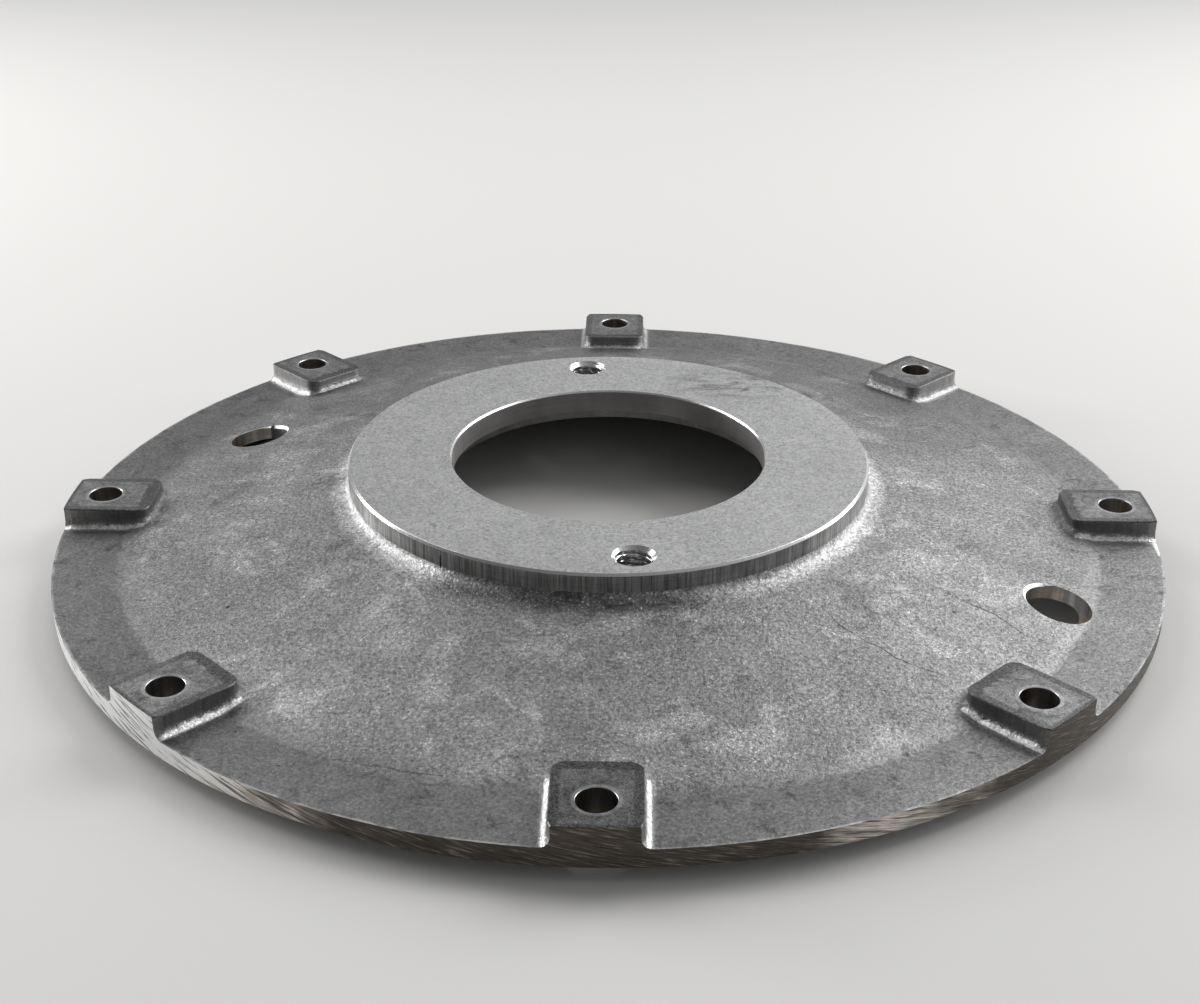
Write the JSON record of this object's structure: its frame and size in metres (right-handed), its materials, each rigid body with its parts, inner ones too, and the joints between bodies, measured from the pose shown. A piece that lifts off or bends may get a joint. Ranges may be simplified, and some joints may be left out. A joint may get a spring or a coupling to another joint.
{
  "type": "pump mounting flange",
  "caption": "Shallow conical cast-aluminium flange with a faced hub and bolt pads, joining a hydraulic pump to an engine's flywheel housing.",
  "frame": {"origin": "centre of the register's lower face, the lowest face of the part, on the shaft axis", "axes": "+Z along the shaft axis from the engine housing towards the pump; +X and +Y each pass through the middle of a bolt pad"},
  "size_m": [0.3556, 0.3556, 0.0345],
  "materials": {
    "cast_aluminium": "sand cast, with turned and faced seats"
  },
  "bodies": {
    "root": {"mounting_flange": "cast_aluminium"}
  },
  "joints": []
}
